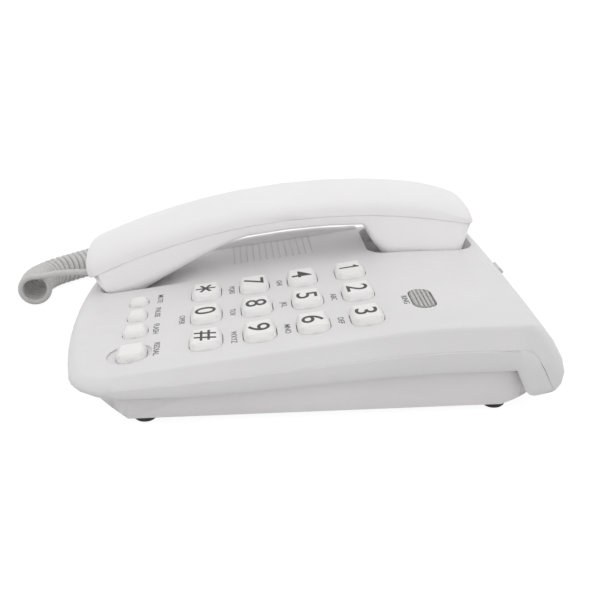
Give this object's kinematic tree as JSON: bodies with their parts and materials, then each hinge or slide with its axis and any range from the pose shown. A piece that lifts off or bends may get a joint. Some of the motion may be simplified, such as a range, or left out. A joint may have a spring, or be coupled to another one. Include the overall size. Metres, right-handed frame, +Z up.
{
  "type": "corded desk telephone",
  "caption": "Corded landline desk phone: sloping base with keypad, arched handset lying in a side cradle, ring lamp and a long curly handset cord on the table.",
  "frame": {"origin": "on the table, under the middle of the base, the curly cord left out", "axes": "+Z up, the user sits at -Y, the handset and its cord are on the -X side, the line socket is in the tail at +Y"},
  "size_m": [0.2299, 0.2636, 0.0735],
  "materials": {
    "housing": "fine satin moulded",
    "lower_housing": "fine satin moulded",
    "keys": "smooth satin with printed legends",
    "handset": "smooth satin moulded",
    "rubber": "matt",
    "steel": "zinc plated",
    "ballast": "rolled",
    "circuit_board": "solder mask",
    "mat": "matt moulded",
    "lens": "smoked translucent, ribbed",
    "led": "clear tinted",
    "dark_plastic": "moulded",
    "socket": "moulded",
    "plug": "clear moulded",
    "cord": "soft satin sheath"
  },
  "bodies": {
    "base": {"upper_housing": "housing", "lower_housing": "lower_housing", "rubber_feet": "rubber", "housing_screws": "steel", "ballast_plate": "ballast", "main_board": "circuit_board", "board_screws": "steel", "keypad_mat": "mat", "ring_lens": "lens", "ring_led": "led", "ringer": "dark_plastic", "hook_switch": "dark_plastic", "line_jack": "socket", "base_cord_jack": "socket", "ringer_switch": "dark_plastic", "cord_coil": "cord", "handset_lead": "cord", "base_lead": "cord", "base_plug": "plug"},
    "handset": {"handset_upper_shell": "handset", "handset_lower_shell": "handset", "receiver": "dark_plastic", "receiver_gasket": "rubber", "microphone": "steel", "microphone_boot": "rubber", "handset_weight": "ballast", "handset_cord_jack": "socket", "handset_screws": "steel", "handset_plug": "plug"},
    "hook_plunger": {"hook_plunger": "housing"},
    "ringer_slider": {"ringer_slider": "housing"},
    "key_1": {"key_1": "keys"},
    "key_2": {"key_2": "keys"},
    "key_3": {"key_3": "keys"},
    "key_4": {"key_4": "keys"},
    "key_5": {"key_5": "keys"},
    "key_6": {"key_6": "keys"},
    "key_7": {"key_7": "keys"},
    "key_8": {"key_8": "keys"},
    "key_9": {"key_9": "keys"},
    "key_star": {"key_star": "keys"},
    "key_0": {"key_0": "keys"},
    "key_hash": {"key_hash": "keys"},
    "key_mute": {"key_mute": "keys"},
    "key_pause": {"key_pause": "keys"},
    "key_flash": {"key_flash": "keys"},
    "key_redial": {"key_redial": "keys"}
  },
  "joints": [
    {"name": "handset_lift", "type": "slide", "parent": "base", "child": "handset", "axis": [0, 0, 1], "range_m": [0, 0.08], "deforming": ["handset_lead"]},
    {"name": "hook_rise", "type": "slide", "parent": "base", "child": "hook_plunger", "axis": [0, 0, 1], "range_m": [0, 0.004]},
    {"name": "ringer_volume", "type": "slide", "parent": "base", "child": "ringer_slider", "axis": [1, 0, 0], "range_m": [-0.003, 0.003]},
    {"name": "press_1", "type": "slide", "parent": "base", "child": "key_1", "axis": [0, -0.1288, 0.9917], "range_m": [-0.0015, 0], "stiffness_N_per_m": 400, "springref_m": 0.0005},
    {"name": "press_2", "type": "slide", "parent": "base", "child": "key_2", "axis": [0, -0.1288, 0.9917], "range_m": [-0.0015, 0], "stiffness_N_per_m": 400, "springref_m": 0.0005},
    {"name": "press_3", "type": "slide", "parent": "base", "child": "key_3", "axis": [0, -0.1288, 0.9917], "range_m": [-0.0015, 0], "stiffness_N_per_m": 400, "springref_m": 0.0005},
    {"name": "press_4", "type": "slide", "parent": "base", "child": "key_4", "axis": [0, -0.1288, 0.9917], "range_m": [-0.0015, 0], "stiffness_N_per_m": 400, "springref_m": 0.0005},
    {"name": "press_5", "type": "slide", "parent": "base", "child": "key_5", "axis": [0, -0.1288, 0.9917], "range_m": [-0.0015, 0], "stiffness_N_per_m": 400, "springref_m": 0.0005},
    {"name": "press_6", "type": "slide", "parent": "base", "child": "key_6", "axis": [0, -0.1288, 0.9917], "range_m": [-0.0015, 0], "stiffness_N_per_m": 400, "springref_m": 0.0005},
    {"name": "press_7", "type": "slide", "parent": "base", "child": "key_7", "axis": [0, -0.1288, 0.9917], "range_m": [-0.0015, 0], "stiffness_N_per_m": 400, "springref_m": 0.0005},
    {"name": "press_8", "type": "slide", "parent": "base", "child": "key_8", "axis": [0, -0.1288, 0.9917], "range_m": [-0.0015, 0], "stiffness_N_per_m": 400, "springref_m": 0.0005},
    {"name": "press_9", "type": "slide", "parent": "base", "child": "key_9", "axis": [0, -0.1288, 0.9917], "range_m": [-0.0015, 0], "stiffness_N_per_m": 400, "springref_m": 0.0005},
    {"name": "press_star", "type": "slide", "parent": "base", "child": "key_star", "axis": [0, -0.1288, 0.9917], "range_m": [-0.0015, 0], "stiffness_N_per_m": 400, "springref_m": 0.0005},
    {"name": "press_0", "type": "slide", "parent": "base", "child": "key_0", "axis": [0, -0.1288, 0.9917], "range_m": [-0.0015, 0], "stiffness_N_per_m": 400, "springref_m": 0.0005},
    {"name": "press_hash", "type": "slide", "parent": "base", "child": "key_hash", "axis": [0, -0.1288, 0.9917], "range_m": [-0.0015, 0], "stiffness_N_per_m": 400, "springref_m": 0.0005},
    {"name": "press_mute", "type": "slide", "parent": "base", "child": "key_mute", "axis": [0, -0.1288, 0.9917], "range_m": [-0.0015, 0], "stiffness_N_per_m": 400, "springref_m": 0.0005},
    {"name": "press_pause", "type": "slide", "parent": "base", "child": "key_pause", "axis": [0, -0.1288, 0.9917], "range_m": [-0.0015, 0], "stiffness_N_per_m": 400, "springref_m": 0.0005},
    {"name": "press_flash", "type": "slide", "parent": "base", "child": "key_flash", "axis": [0, -0.1288, 0.9917], "range_m": [-0.0015, 0], "stiffness_N_per_m": 400, "springref_m": 0.0005},
    {"name": "press_redial", "type": "slide", "parent": "base", "child": "key_redial", "axis": [0, -0.1288, 0.9917], "range_m": [-0.0015, 0], "stiffness_N_per_m": 400, "springref_m": 0.0005}
  ],
  "couplings": [
    {"joint": "hook_rise", "follows": "handset_lift", "ratio": 0.05}
  ]
}
